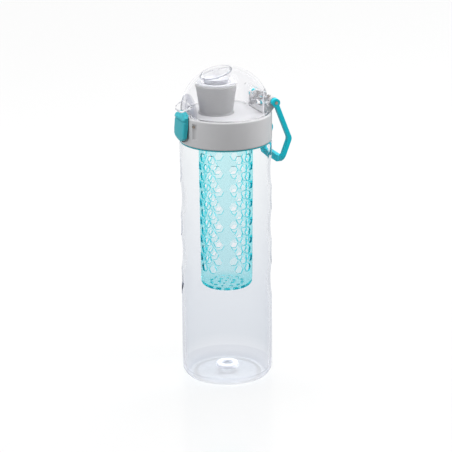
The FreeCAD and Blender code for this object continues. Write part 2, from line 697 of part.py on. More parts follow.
def make_plug(form):
    """The tube and the post that hang from the dome's ceiling into the spout's mouth, cut off inside its wall."""
    tube = new_body("plug_tube_form", "-spout_offset")
    top = "dome_mid + dome_dia / 2"
    revolve(tube, "plug_tube", [
        ("plug_base_dia / 2 - plug_wall", "plug_end"),
        ("plug_base_dia / 2", "plug_end"),
        ("plug_top_dia / 2", top),
        ("plug_top_dia / 2 - plug_wall", top),
    ])
    # The tube's seam faces away from the dome's, because the common of the two is empty where seams meet.
    tube.Placement = Placement(tube.Placement.Base, Rotation(Vector(0, 0, 1), 180))
    post = new_body("plug_post_form", "-spout_offset")
    extrude(post, "Pad", "plug_post", "XY_Plane", ("0", "0", "post_dia / 2"), f"{top} - plug_end + post_sink",
            both=False, offset="plug_end - post_sink")
    return [join("MultiCommon", "hung_tube", [tube, form]), join("MultiCommon", "hung_post", [post, form])]


def make_dome():
    outer = dome_form("dome_outer", "0", "dome_low")
    hollow = dome_form("dome_hollow", "dome_wall", "(dome_low - overrun)")
    shell = join("Cut", "dome_shell", [outer, hollow])
    middle = dome_form("dome_middle", "dome_wall / 2", "dome_low")
    catch = new_body("catch_form")
    ledge = box_outline("-catch_reach", "dome_wall / 2 - front_flat", "dome_low", "dome_low + catch_height")
    extrude(catch, "Pad", "catch_ledge", "XZ_Plane", ledge, "catch_width")
    pieces = [shell, make_thumb_lip(), catch, make_dome_arms()] + make_plug(middle)
    return join("MultiFuse", "dome_cover", pieces)


def make_stopper():
    body = new_body("spout_stopper", "-spout_offset")
    hole = "post_dia / 2"
    spigot = "plug_base_dia / 2 - plug_wall - press_gap"
    low = "plug_end - stopper_depth"
    revolve(body, "stopper_plug", [
        ("0", low),
        ("stopper_low_dia / 2 - stopper_round", low),
        ("stopper_low_dia / 2", f"{low} + stopper_round", "stopper_round", LEFT),
        ("stopper_top_dia / 2", "spout_rim + press_gap"),
        ("stopper_flange_dia / 2", "spout_rim + press_gap"),
        ("stopper_flange_dia / 2", "plug_end"),
        (spigot, "plug_end"),
        (spigot, "plug_end + stopper_spigot"),
        (f"{hole} + press_gap", "plug_end + stopper_spigot"),
        (f"{hole} + press_gap", "plug_end - post_sink"),
        ("0", "plug_end - post_sink"),
    ])
    return body


def make_pin(name, x, z, dia, length):
    body = new_body(name)
    extrude(body, "Pad", name + "_rod", "XZ_Plane", (x, z, f"{dia} / 2"), length)
    return body


def biarc(start, lead, stop, trail):
    """Two arcs from start, which they leave along lead, to stop, which they reach along trail."""
    gap = stop - start
    both = lead + trail
    spread = 2 * (1 - lead.dot(trail))
    reach = (math.sqrt(gap.dot(both) ** 2 + spread * gap.dot(gap)) - gap.dot(both)) / spread
    meet = (start + stop + (lead - trail) * reach) / 2
    arcs = []
    for first, corner, last in ((start, start + lead * reach, meet), (meet, stop - trail * reach, stop)):
        weight = (last - first).Length / (2 * reach)
        middle = (first + last + corner * (2 * weight)) / (2 + 2 * weight)
        arcs.append(Part.Arc(first, middle, last).toShape())
    return arcs


def coil_marks(radius, span, quarters):
    """Points a quarter turn apart on a helix about +Z, each with the way that the wire runs there."""
    rise = span / quarters / (math.pi / 2)
    marks = []
    for index in range(quarters + 1):
        angle = index * math.pi / 2
        place = Vector(radius * math.cos(angle), radius * math.sin(angle), rise * angle)
        way = Vector(-radius * math.sin(angle), radius * math.cos(angle), rise).normalize()
        marks.append((place, way))
    return marks


def least_gap(path, wire, radius):
    """Clear distance of a wire to itself, measured on points more than half a turn apart."""
    points = path.discretize(Distance=wire)
    skip = int(math.pi * radius / wire)
    nearest = min(a.distanceToPoint(b) for i, a in enumerate(points) for b in points[i + skip:])
    return nearest - wire


def make_coil(name, wire, radius, span, quarters, lead_leg="0", trail_leg="0"):
    """A round wire wound about +Z from the origin up, with straight legs before and after its turns."""
    marks = coil_marks(value(radius), value(span), int(value(quarters)))
    edges = []
    for (start, lead), (stop, trail) in zip(marks, marks[1:]):
        edges += biarc(start, lead, stop, trail)
    first, lead = marks[0]
    last, trail = marks[-1]
    begin = first - lead * value(lead_leg)
    end = last + trail * value(trail_leg)
    if begin != first:
        edges.insert(0, Part.LineSegment(begin, first).toShape())
    if end != last:
        edges.append(Part.LineSegment(last, end).toShape())
    path = Part.Wire(edges)
    section = Part.Wire(Part.Circle(begin, lead, value(wire) / 2).toShape())
    feature = doc.addObject("Part::Feature", name)
    feature.Shape = path.makePipeShell([section], True, False)
    print(f"{name}: least gap of the wire to itself {least_gap(path, value(wire), value(radius)):.2f} mm")
    return feature


def make_dome_spring():
    """A torsion spring round the hinge pin, one leg down to the deck, the other forward to the dome."""
    spring = make_coil("dome_spring", "coil_wire", "coil_rad", "coil_span", "coil_quarter_count",
                       "hinge_rise - coil_seat_gap", "hinge_x - notch_face - coil_seat_gap")
    place = Vector(value("hinge_x"), value("-coil_span / 2"), value("hinge_z"))
    spring.Placement = Placement(place, Rotation(Vector(-1, 0, 0), Vector(0, 0, 1), Vector(0, 1, 0)))
    return spring


def make_latch_spring():
    """A coil spring from the latch pocket's floor out to its seat in the lever."""
    spring = make_coil("latch_spring", "return_wire", "return_rad", "return_seat - pocket_face - return_wire",
                       "return_quarter_count")
    place = Vector(value("-pocket_face - return_wire / 2"), 0, value("lid_low + return_rise"))
    spring.Placement = Placement(place, Rotation(Vector(0, 0, 1), Vector(0, 1, 0), Vector(-1, 0, 0)))
    return spring


def make_latch():
    """The lever: its side outline cut to its front outline and to its outline from above, with two lugs on the
    pin and a spring seat."""
    lever = new_body("latch_lever")
    nose = "latch_top - latch_nose_thick"
    side = [
        ("-latch_heel", "latch_foot"),
        ("-latch_back", "latch_pin_z"),
        ("-latch_back", nose),
        ("-latch_nose", nose),
        ("-latch_nose", "latch_top"),
        ("-latch_crown", "latch_top"),
        ("-latch_crease", "latch_foot + latch_crease_height"),
        ("-latch_face", "latch_foot + latch_belly_height"),
        ("-latch_face", "latch_foot + latch_chin_height"),
        ("-latch_chin", "latch_foot"),
    ]
    extrude(lever, "Pad", "lever_plate", "XZ_Plane", side, "latch_width")
    lug = box_outline("-latch_heel", "-latch_pin_x", "latch_pin_z - lug_rad", "latch_pin_z + lug_rad")
    extrude(lever, "Pad", "lug_webs", "XZ_Plane", lug, "lug_outer")
    extrude(lever, "Pad", "lug_ends", "XZ_Plane", ("-latch_pin_x", "latch_pin_z", "lug_rad"), "lug_outer")
    between = box_outline("-latch_back", "2 * lug_rad - latch_pin_x",
                          "latch_pin_z - 2 * lug_rad", "latch_pin_z + 2 * lug_rad")
    extrude(lever, "Pocket", "between_lugs", "XZ_Plane", between, "lug_inner")
    extrude(lever, "Pocket", "lug_holes", "XZ_Plane",
            ("-latch_pin_x", "latch_pin_z", "latch_pin_dia / 2 + pin_run"), "2 * latch_width")
    extrude(lever, "Pocket", "spring_seat", "YZ_Plane", ("0", "lid_low + return_rise", "return_seat_dia / 2"),
            "return_seat - pocket_face", both=False, offset="-pocket_face")
    front = new_body("latch_front")
    half = "latch_width / 2"
    drop = "latch_top - latch_crown_arch + sqrt(latch_crown_arch ^ 2 - latch_width ^ 2 / 4)"
    climb = "latch_foot + latch_chin_arc - sqrt(latch_chin_arc ^ 2 - latch_width ^ 2 / 4)"
    outline = [
        (half, climb, "latch_chin_arc", LEFT),
        (half, drop),
        (f"-{half}", drop, "latch_crown_arch", LEFT),
        (f"-{half}", climb),
    ]
    extrude(front, "Pad", "front_outline", "YZ_Plane", outline, "2 * body_dia")
    plan = new_body("latch_plan")
    outline = [
        ("-latch_face", f"latch_edge_round - {half}"),
        ("latch_edge_round - latch_face", f"-{half}", "latch_edge_round", LEFT),
        ("0", f"-{half}"),
        ("0", half),
        ("latch_edge_round - latch_face", half),
        ("-latch_face", f"{half} - latch_edge_round", "latch_edge_round", LEFT),
    ]
    extrude(plan, "Pad", "plan_outline", "XY_Plane", outline, "2 * deck", both=False)
    return join("MultiCommon", "latch_button", [lever, front, plan])


def make_handle():
    """A bent plate seen from the side, cut to a U-shaped band seen from behind."""
    plate = new_body("handle_plate")
    half = "handle_thick / 2"
    side = [
        (f"bar_x - {half}", "bar_z"),
        (f"bar_x + {half}", "bar_z"),
        (f"bend_x + {half}", "bend_z"),
        (f"hinge_x + {half}", "hinge_z"),
        (f"hinge_x - {half}", "hinge_z"),
        (f"bend_x - {half}", "bend_z"),
    ]
    strap = extrude(plate, "Pad", "handle_strap", "XZ_Plane", side, "handle_width")
    bend = [
        f"Edge{index}" for index, edge in enumerate(strap.Shape.Edges, 1)
        if abs(edge.CenterOfMass.z - value("bend_z")) < value("overrun") and edge.Length > value("body_rad")
    ]
    fillet = plate.newObject("PartDesign::Fillet", "handle_bend")
    fillet.Base = (strap, bend)
    bind(fillet, "Radius", "handle_bend_round")
    finish(plate, fillet)
    extrude(plate, "Pad", "handle_eyes", "XZ_Plane", ("hinge_x", "hinge_z", "handle_eye"), "handle_width")
    extrude(plate, "Pocket", "eye_holes", "XZ_Plane", ("hinge_x", "hinge_z", "pin_dia / 2 + pin_run"),
            "2 * handle_width")
    band = new_body("handle_band_form")
    wide = "handle_width / 2"
    clear = "(handle_width / 2 - handle_band)"
    top = "hinge_z + 2 * handle_eye"
    low = "(bar_z + handle_band)"
    outline = [
        (f"{wide} - handle_corner", "bar_z"),
        (wide, "bar_z + handle_corner", "handle_corner", LEFT),
        (wide, top),
        (clear, top),
        (clear, f"{low} + handle_inner_corner"),
        (f"{clear} - handle_inner_corner", low, "handle_inner_corner", RIGHT),
        (f"handle_inner_corner - {clear}", low),
        (f"-{clear}", f"{low} + handle_inner_corner", "handle_inner_corner", RIGHT),
        (f"-{clear}", top),
        (f"-{wide}", top),
        (f"-{wide}", "bar_z + handle_corner"),
        (f"handle_corner - {wide}", "bar_z", "handle_corner", LEFT),
    ]
    extrude(band, "Pad", "band_outline", "YZ_Plane", outline, "2 * body_dia", both=False)
    return join("MultiCommon", "carry_handle", [plate, band])


def check(item):
    """Stops the build on a feature in error or an empty or invalid shape."""
    if "Invalid" in item.State or "Error" in item.State:
        raise RuntimeError(f"{item.Label} is in error: {item.State}")
    if hasattr(item, "Shape") and not item.isDerivedFrom("App::OriginFeature"):
        if item.Shape.isNull() or not item.Shape.isValid():
            raise RuntimeError(f"{item.Label} has no valid shape")


def main():
    fill_sheet()
    nodes = [
        make_bottle(),
        make_infuser(),
        make_rim_seal(),
        make_liner(),
        make_lid(),
        make_spout(),
        make_spout_seal(),
        make_dome(),
        make_stopper(),
        make_pin("hinge_pin", "hinge_x", "hinge_z", "pin_dia", "pin_length"),
        make_dome_spring(),
        make_latch(),
        make_pin("latch_pin", "-latch_pin_x", "latch_pin_z", "latch_pin_dia", "latch_pin_length"),
        make_latch_spring(),
        make_handle(),
    ]
    doc.recompute()
    for item in nodes:
        check(item)
    os.makedirs("parts", exist_ok=True)
    for item in nodes:
        item.Shape.exportStep(f"parts/{item.Label}.step")


main()
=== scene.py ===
"""Dresses the fruit infuser water bottle for a studio picture.

The clear bottle is a surface of revolution with a honeycomb of shallow dimples. The latch lever, the thread
on the neck, the frosted ring on the floor and the round above the plug tube are made here too. The other
pieces keep the shape of their construction, some with softened edges. Every piece gets the finish of the
plastic, silicone or steel that it is moulded or drawn from. Lengths are metres, in the bottle's own frame:
+Z up, latch at -X, hinge at +X.
"""
import json
import math

import bmesh
import bpy
import numpy as np
from bpy.props import FloatProperty, FloatVectorProperty, IntProperty, PointerProperty
from mathutils import Matrix, Vector

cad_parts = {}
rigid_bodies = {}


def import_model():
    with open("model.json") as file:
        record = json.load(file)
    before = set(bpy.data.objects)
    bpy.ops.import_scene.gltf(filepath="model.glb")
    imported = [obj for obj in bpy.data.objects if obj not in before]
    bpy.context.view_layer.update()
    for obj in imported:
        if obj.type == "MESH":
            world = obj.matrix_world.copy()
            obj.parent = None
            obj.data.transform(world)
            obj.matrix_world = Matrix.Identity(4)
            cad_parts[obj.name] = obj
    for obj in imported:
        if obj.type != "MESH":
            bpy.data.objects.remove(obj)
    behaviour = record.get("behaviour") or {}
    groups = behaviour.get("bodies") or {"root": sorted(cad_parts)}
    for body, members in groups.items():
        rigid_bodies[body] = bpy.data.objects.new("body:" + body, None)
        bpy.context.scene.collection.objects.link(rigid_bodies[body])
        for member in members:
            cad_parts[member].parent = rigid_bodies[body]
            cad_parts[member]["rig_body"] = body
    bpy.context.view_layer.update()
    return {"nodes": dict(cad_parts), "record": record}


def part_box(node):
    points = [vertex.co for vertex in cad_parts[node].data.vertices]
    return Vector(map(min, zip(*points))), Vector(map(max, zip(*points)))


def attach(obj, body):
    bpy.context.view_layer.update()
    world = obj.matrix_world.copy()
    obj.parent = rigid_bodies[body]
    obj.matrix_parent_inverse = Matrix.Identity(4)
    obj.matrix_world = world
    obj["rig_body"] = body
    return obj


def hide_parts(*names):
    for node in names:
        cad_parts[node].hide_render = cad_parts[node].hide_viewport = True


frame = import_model()

bl_info = {
    "name": "Infuser Bottle",
    "version": (1, 0, 0),
    "blender": (4, 5, 0),
    "location": "View3D > Sidebar > Bottle",
    "description": "Surfaces, finishes and studio stage of a fruit infuser water bottle",
    "category": "Object",
}

MM = 0.001
SLOTS = {part["node"]: part["material_slot"] for part in frame["record"]["subparts"]}
BODY_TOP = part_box("bottle_body")[1]

# Points of a mesh that lie closer than this are one point
SAME_PLACE = 1e-3 * MM
# Faces that turn by less than this are joined before a piece's edges are rounded
FLAT_ANGLE = math.radians(0.5)
# Edges that turn by more than this are rounded, in this many steps
EDGE_ANGLE = math.radians(38)
EDGE_STEPS = 3
# Index of refraction of the opaque and the frosted plastic
PLASTIC_INDEX = 1.49
# The latch lever in section: height above its foot and distance from the bottle's axis, in millimetres
LATCH_FACE = [(0, 38.7), (2.6, 39.7), (7.9, 39.75), (15.8, 39.15), (17, 38), (17.3, 38),
              (17.6, 39.4), (18.6, 39.2), (23.2, 36.2)]
LATCH_BACK = [(0, 37.1), (14, 35), (20.9, 35), (21.1, 33.7), (23.2, 33.7)]
# Soft boxes: name, place, side of the square, watts. They all face one point in the bottle
LAMPS = (
    ("key_box", (1.5, -0.3, 0.9), 0.9, 15),
    ("fill_box", (-1.4, 0.3, 0.8), 1.0, 8),
    ("top_box", (0.1, 0.0, 1.5), 1.2, 19),
)
LAMP_AIM = (0, 0, 0.15)


def linear(code):
    """Linear red, green and blue of an sRGB hex colour."""
    shares = np.array([int(code[i:i + 2], 16) for i in (1, 3, 5)]) / 255
    return tuple(np.where(shares <= 0.04045, shares / 12.92, ((shares + 0.055) / 1.055) ** 2.4))


def length(name, note, value):
    """A length property, given in millimetres."""
    return FloatProperty(name=name, description=note, default=value * MM, unit="LENGTH", precision=5)


def degrees(name, note, value):
    """An angle property, given in degrees."""
    return FloatProperty(name=name, description=note, default=math.radians(value), subtype="ANGLE")


def fraction(name, note, value):
    """A property that is a share of one."""
    return FloatProperty(name=name, description=note, default=value, subtype="FACTOR", min=-1, max=1)


def how_many(name, note, value):
    """A property that counts."""
    return IntProperty(name=name, description=note, default=value, subtype="UNSIGNED", min=1)


def colour(name, note, code):
    """A colour property, given as an sRGB hex value."""
    return FloatVectorProperty(name=name, description=note, default=linear(code),
                               subtype="COLOR", min=0, max=1)


class BottleSizes(bpy.types.PropertyGroup):
    """Sizes of the bottle, its thread and gate, the round above the plug tube, and the latch"""

    wall: length("Wall", "Thickness of the bottle's wall", 2.6)
    base_corner: length("Base corner", "Outside round of the base", 9)
    floor_corner: length("Floor corner", "Inside round of the base, drawn tight", 2)
    base_recess: length("Base recess", "Height of the hollow under the base", 1.5)
    base_floor: length("Base floor", "Thickness of the floor over the hollow", 4.2)
    foot_radius: length("Foot radius", "Inner edge of the standing ring", 24.5)
    recess_radius: length("Recess radius", "Flat of the hollow under the base, drawn with a soft slope", 14)
    gate_radius: length("Gate radius", "Moulding gate boss on the floor", 8.5)
    gate_bore: length("Gate bore", "Radius of the dish in the gate boss", 5)
    gate_height: length("Gate height", "Gate boss above the floor", 2.6)
    gate_dish: length("Gate dish", "Dish bottom above the floor", 1)
    shoulder_height: length("Shoulder height", "Top of the shoulder", 196.4)
    shoulder_round: length("Shoulder round", "Round of the shoulder", 1)
    shoulder_wall: length("Shoulder wall", "Thickness of the shoulder, drawn thin", 0.9)
    neck_radius: length("Neck radius", "Outside of the neck", 30.6)
    mouth_radius: length("Mouth radius", "Inside of the neck", 26.6)
    rebate_radius: length("Rebate radius", "Step that the infuser flange rests on", 28.6)
    rebate_depth: length("Rebate depth", "Depth of the step in the mouth", 1.5)
    dimple_count: how_many("Dimples", "Dimples in one row", 9)
    dimple_rows: how_many("Dimple rows", "Staggered rows of dimples", 5)
    dimple_low: length("Lowest row", "Centre of the lowest row of dimples", 82.4)
    dimple_pitch: length("Row pitch", "Row to row", 22.6)
    dimple_depth: length("Dimple depth", "Dimple centre below the wall", 1.2)
    dimple_bend: length("Dimple bend", "Radius of a dimple's hollow along the bottle", 90)
    ridge_blend: length("Ridge blend", "How far the ridges between dimples are melted away", 0.09)
    dome_inside: length("Dome inside", "Radius of the dome's hollow", 33)
    dome_middle: length("Dome middle", "Height of the dome's centre", 221.2)
    plug_offset: length("Plug offset", "Plug tube's axis in front of the bottle's axis", 7.7)
    plug_radius: length("Plug radius", "Plug tube where it meets the dome", 11.9)
    plug_fillet: length("Plug fillet", "Round between plug tube and dome", 0.35)
    latch_chin_arc: length("Latch chin", "Radius of the latch's rounded lower end", 16)
    latch_crown_arch: length("Latch crown", "Radius of the latch's arched top", 20)
    thread_pitch: length("Thread pitch", "Rise of the neck's thread in one turn", 6)
    thread_height: length("Thread height", "How far the thread stands out of the neck", 0.75)
    thread_width: length("Thread width", "Width of the thread at its root", 2.2)


class BottleColours(bpy.types.PropertyGroup):
    """Colours of the plastics, silicone and steel, and of the floor"""

    # Clear low, high and foot grade the bottle's tint with height; the greyer tint low on the wall is painted
    # shade.
    clear_low: colour("Clear, low", "Tint of the bottle's copolyester near its base", "#F0F2F5")
    clear_high: colour("Clear, high", "Tint of the bottle's copolyester near its shoulder", "#FEFFFF")
    clear_foot: colour("Clear, foot", "Tint of the bottle's copolyester under its base", "#FEFEFF")
    gate: colour("Gate", "Frosted ring where the moulding gate was cut", "#E4E4E9")
    # Painted shade: a greyer tint on the down-turned faces of the round at the wall's foot.
    corner_shade: colour("Clear, corner", "Tint of the round at the foot of the wall", "#ECEDF2")
    # Painted reflection: a grey tint on the flat in front of the dome.
    dome_flat_reflection: colour("Dome flat", "Tint of the flat in front of the dome", "#CDCED6")
    # Painted shade: the grey tint of the round above the plug tube, which draws a dark line there.
    fillet_shade: colour("Dome fillet", "Tint of the round above the plug tube", "#BDC0C7")
    dome: colour("Dome", "Tint of the dome's clear copolyester", "#FBFBFC")
    clear_depth: colour("Clear depth", "Colour that clear plastic takes with thickness", "#B4BAC6")
    infuser: colour("Infuser", "Tint of the infuser's copolyester", "#FBFDFE")
    # Painted shade: a deeper teal on the sides of the infuser's holes.
    infuser_edge_shade: colour("Infuser edge", "Tint of the sides of the infuser's holes", "#58DCE6")
    infuser_depth: colour("Infuser depth", "Colour that the infuser takes with thickness", "#9AF3F5")
    lid: colour("Lid", "Grey polypropylene of the lid", "#C2C2C4")
    # Painted shade: the spout is the lid's grey polypropylene, darkened for the shade it sits in under the
    # dome.
    spout: colour("Spout", "Grey polypropylene of the spout", "#A8A8A9")
    handle: colour("Handle", "Teal polypropylene of the handle", "#00C2D3")
    latch: colour("Latch", "Teal polypropylene of latch and liner", "#2AA5B1")
    silicone: colour("Silicone", "Milky silicone of seals and stopper", "#DCDDE2")
    # Painted reflection: the pins' stainless grey is warmed to brown, for the warm reflection on their ends.
    steel: colour("Steel", "Stainless steel of the pins", "#9A8E82")
    spring: colour("Spring", "Stainless wire of the springs", "#C8C8CC")
    floor: colour("Floor", "Studio floor", "#FFFFFF")


class StageSettings(bpy.types.PropertyGroup):
    """Camera and light of the studio"""

    azimuth: degrees("Azimuth", "Camera's way round", -21.5)
    pitch: degrees("Pitch", "Camera's look down", 18.22)
    roll: degrees("Roll", "Camera's lean", -0.45)
    distance: length("Distance", "Camera to the bottle's axis, level", 1430)
    height: length("Height", "Camera above the floor", 596)
    lens: FloatProperty(name="Lens", description="Focal length in millimetres", default=150, unit="CAMERA")
    shift: fraction("Shift", "Sideways shift of the frame", -0.0009)
    world_level: fraction("World", "Level of light from all round", 0.62)
    floor_level: fraction("Floor lift", "White that the floor adds to its own shade", 0.46)


def profile_arc(before, corner, after, radius, steps):
    """Points of the arc of that radius that rounds a corner between two straight runs."""
    to_before = (before - corner) / np.linalg.norm(before - corner)
    to_after = (after - corner) / np.linalg.norm(after - corner)
    half = math.acos(np.clip(to_before @ to_after, -1, 1)) / 2
    middle = (to_before + to_after) / np.linalg.norm(to_before + to_after)
    centre = corner + middle * radius / math.sin(half)
    start = corner + to_before * radius / math.tan(half) - centre
    side = corner + to_after * radius / math.tan(half) - centre
    sweep = math.pi - 2 * half
    across = (side - start * math.cos(sweep)) / math.sin(sweep)
    turn = np.linspace(0, sweep, steps)[:, None]
    return centre + start * np.cos(turn) + across * np.sin(turn)


def rounded_profile(corners, steps=7):
    """A line of (across, up) points through corners given as (across, up, round)."""
    places = [np.array(corner[:2]) for corner in corners]
    runs = [places[0][None]]
    for index in range(1, len(corners) - 1):
        radius = corners[index][2]
        if radius:
            runs.append(profile_arc(places[index - 1], places[index], places[index + 1], radius, steps))
        else:
            runs.append(places[index][None])
    runs.append(places[-1][None])
    return np.concatenate(runs)


def spaced(profile, step):
    """The line without doubled points, with points added so that none lie further apart than step."""
    doubled = 1e-9
    along = np.concatenate([[0], np.cumsum(np.linalg.norm(np.diff(profile, axis=0), axis=1))])
    keep = np.diff(along, prepend=-1) > doubled
    profile, along = profile[keep], along[keep]
    counts = np.ceil(np.diff(along) / step).astype(int)
    parts = np.concatenate([np.arange(count) / count for count in counts] + [[0]])
    first = np.concatenate([np.repeat(np.arange(len(counts)), counts), [len(counts)]])
    places = np.interp(first + parts, np.arange(len(along)), along)
    return np.stack([np.interp(places, along, profile[:, axis]) for axis in (0, 1)], axis=1)


def turned_grid(profile, columns):
    """Grid of points of a line of (radius, height) turned about Z: x = r cos t, y = r sin t, z = h."""
    angle = np.arange(columns) * 2 * np.pi / columns
    radius, height = profile[:, :1], profile[:, 1:]
    return np.stack([radius * np.cos(angle), radius * np.sin(angle), height + 0 * angle], axis=-1)


def grid_object(name, grid, smooth_angle=math.radians(40)):
    """A mesh of quads on a grid whose columns close on themselves, with its poles and seams merged."""
    rows, columns = grid.shape[:2]
    index = np.arange(rows * columns).reshape(rows, columns)
    after = np.roll(index, -1, axis=1)
    faces = np.stack([index[:-1], after[:-1], after[1:], index[1:]], axis=-1).reshape(-1, 4)
    mesh = bpy.data.meshes.new(name)
    mesh.from_pydata(grid.reshape(-1, 3), [], faces.tolist())
    tidy_mesh(mesh, smooth_angle, recalculate=True)
    return add_object(name, mesh)


def tidy_mesh(mesh, smooth_angle, recalculate=False, dissolve=None):
    """Merges doubled points, and shades smooth wherever faces meet at less than the given angle. It can also
    turn all faces outwards, and join faces that meet at less than the angle dissolve."""
    work = bmesh.new()
    work.from_mesh(mesh)
    bmesh.ops.remove_doubles(work, verts=work.verts, dist=SAME_PLACE)
    if recalculate:
        bmesh.ops.recalc_face_normals(work, faces=work.faces)
    if dissolve:
        bmesh.ops.dissolve_limit(work, angle_limit=dissolve, verts=work.verts, edges=work.edges)
    work.to_mesh(mesh)
    work.free()
    if "custom_normal" in mesh.attributes:
        mesh.attributes.remove(mesh.attributes["custom_normal"])
    mesh.shade_smooth()
    mesh.set_sharp_from_angle(angle=smooth_angle)


def face_table(mesh):
    """The normals and centres of a mesh's faces."""
    normal = np.empty(len(mesh.polygons) * 3)
    centre = np.empty(len(mesh.polygons) * 3)
    mesh.polygons.foreach_get("normal", normal)
    mesh.polygons.foreach_get("center", centre)
    return normal.reshape(-1, 3), centre.reshape(-1, 3)


def mark_faces(mesh, chosen):
    """Keeps a choice of faces on the mesh, for a material that shows them in a tint of their own."""
    mark = mesh.attributes.new("marked", "FLOAT", "FACE")
    mark.data.foreach_set("value", chosen.astype(float))


def add_object(name, mesh):
    """Puts a mesh in the scene."""
    made = bpy.data.objects.new(name, mesh)
    bpy.context.scene.collection.objects.link(made)
    return made


def finish_piece(piece, material, body, slot, *nodes):
    """Gives a piece its finish, the body that it moves with, and the solids that it stands for."""
    piece.data.materials.clear()
    piece.data.materials.append(material)
    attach(piece, body)
    if nodes:
        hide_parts(*nodes)
    return piece


def dressed(node, material, smooth_angle=math.radians(32), edge=0.0):
    """A piece with a node's own shape, smooth where it is round, and its edges rounded by edge."""
    mesh = frame["nodes"][node].data.copy()
    mesh.name = node + "_shape"
    tidy_mesh(mesh, smooth_angle, dissolve=FLAT_ANGLE if edge else None)
    piece = add_object(node + "_dressed", mesh)
    if edge:
        bevel = piece.modifiers.new("edges", "BEVEL")
        bevel.width = edge
        bevel.segments = EDGE_STEPS
        bevel.limit_method = "ANGLE"
        bevel.angle_limit = EDGE_ANGLE
        bevel.harden_normals = True
    return finish_piece(piece, material, frame["nodes"][node]["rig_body"], SLOTS[node], node)


def with_alpha(tone):
    """A colour with the full alpha that colour sockets take."""
    return tuple(tone) + (1,)


def add_node(tree, kind, settings=None, inputs=None):
    """One node: settings are its own options, inputs the values of its sockets or the sockets that
    feed them."""
    made = tree.nodes.new(kind)
    for key, value in (settings or {}).items():
        setattr(made, key, value)
    for key, value in (inputs or {}).items():
        if isinstance(value, bpy.types.NodeSocket):
            tree.links.new(value, made.inputs[key])
        else:
            made.inputs[key].default_value = value
    return made


def new_material(name):
    """An empty node material, its tree and its output."""
    material = bpy.data.materials.new(name)
    material.use_nodes = True
    tree = material.node_tree
    tree.nodes.clear()
    return material, tree, add_node(tree, "ShaderNodeOutputMaterial")


def grain(tree, size, detail=2.0):
    """Noise on Object coordinates whose features are about size across."""
    place = add_node(tree, "ShaderNodeTexCoord")
    return add_node(tree, "ShaderNodeTexNoise", {"noise_dimensions": "3D"},
                    {"Vector": place.outputs["Object"], "Scale": 1 / size, "Detail": detail})


def relief(tree, noise, depth):
    """The normal of a surface that rises and falls with noise, by about depth."""
    return add_node(tree, "ShaderNodeBump", None,
                    {"Height": noise.outputs["Fac"], "Distance": depth, "Strength": 1.0}).outputs[0]


def moulded_plastic(name, tone, rough):
    """Opaque polypropylene from a satin mould: a fine even grain that breaks up the highlights, and a slight
    drift of tone and gloss where the melt flowed."""
    tone_drift = 0.04
    gloss_drift = 0.05
    flow_size = 14 * MM
    grain_size = 0.5 * MM
    grain_depth = 0.004 * MM
    material, tree, output = new_material(name)
    flow = grain(tree, flow_size)
    tones = [with_alpha(min(1.0, channel * share) for channel in tone)
             for share in (1 - tone_drift, 1 + tone_drift)]
    shade = add_node(tree, "ShaderNodeMix", {"data_type": "RGBA"},
                     {0: flow.outputs["Fac"], 6: tones[0], 7: tones[1]})
    gloss = add_node(tree, "ShaderNodeMapRange", None,
                     {"Value": flow.outputs["Fac"], "To Min": rough - gloss_drift,
                      "To Max": rough + gloss_drift})
    fine = grain(tree, grain_size, 1.0)
    shader = add_node(tree, "ShaderNodeBsdfPrincipled", None,
                      {"Base Color": shade.outputs[2], "Roughness": gloss.outputs[0],
                       "Normal": relief(tree, fine, grain_depth), "IOR": PLASTIC_INDEX,
                       "Specular IOR Level": 0.3})
    tree.links.new(shader.outputs[0], output.inputs["Surface"])
    return material


def clear_plastic(name, tint, painted_tint, deep, density, bend, shine=1.0):
    """Copolyester dyed through: polished, with the faint long waves of a moulded wall. It is pale where it is
    thin, and takes on its deep colour at edges, where light runs along the wall. Faces marked by mark_faces
    have a painted tint of their own, which stands for shade and reflection. Bend is its index of refraction,
    kept low so that little light is caught in the wall. Shine is the share of the lamps' light that passes
    straight through it."""
    wave_size = 18 * MM
    wave_depth = 0.03 * MM
    material, tree, output = new_material(name)
    mark = add_node(tree, "ShaderNodeAttribute", {"attribute_name": "marked"})
    shade = add_node(tree, "ShaderNodeMix", {"data_type": "RGBA"},
                     {0: mark.outputs["Fac"], 6: with_alpha(tint), 7: with_alpha(painted_tint)})
    waves = grain(tree, wave_size, 1.0)
    shader = add_node(tree, "ShaderNodeBsdfPrincipled", None,
                      {"Base Color": shade.outputs[2], "Roughness": 0.0, "IOR": bend,
                       "Transmission Weight": 1.0, "Normal": relief(tree, waves, wave_depth)})
    path = add_node(tree, "ShaderNodeLightPath")
    open_way = add_node(tree, "ShaderNodeBsdfTransparent", None, {"Color": (shine, shine, shine, 1)})
    both = add_node(tree, "ShaderNodeMixShader", None,
                    {0: path.outputs["Is Shadow Ray"], 1: shader.outputs[0], 2: open_way.outputs[0]})
    dye = add_node(tree, "ShaderNodeVolumeAbsorption", None,
                   {"Color": with_alpha(deep), "Density": density})
    tree.links.new(both.outputs[0], output.inputs["Surface"])
    tree.links.new(dye.outputs[0], output.inputs["Volume"])
    return material


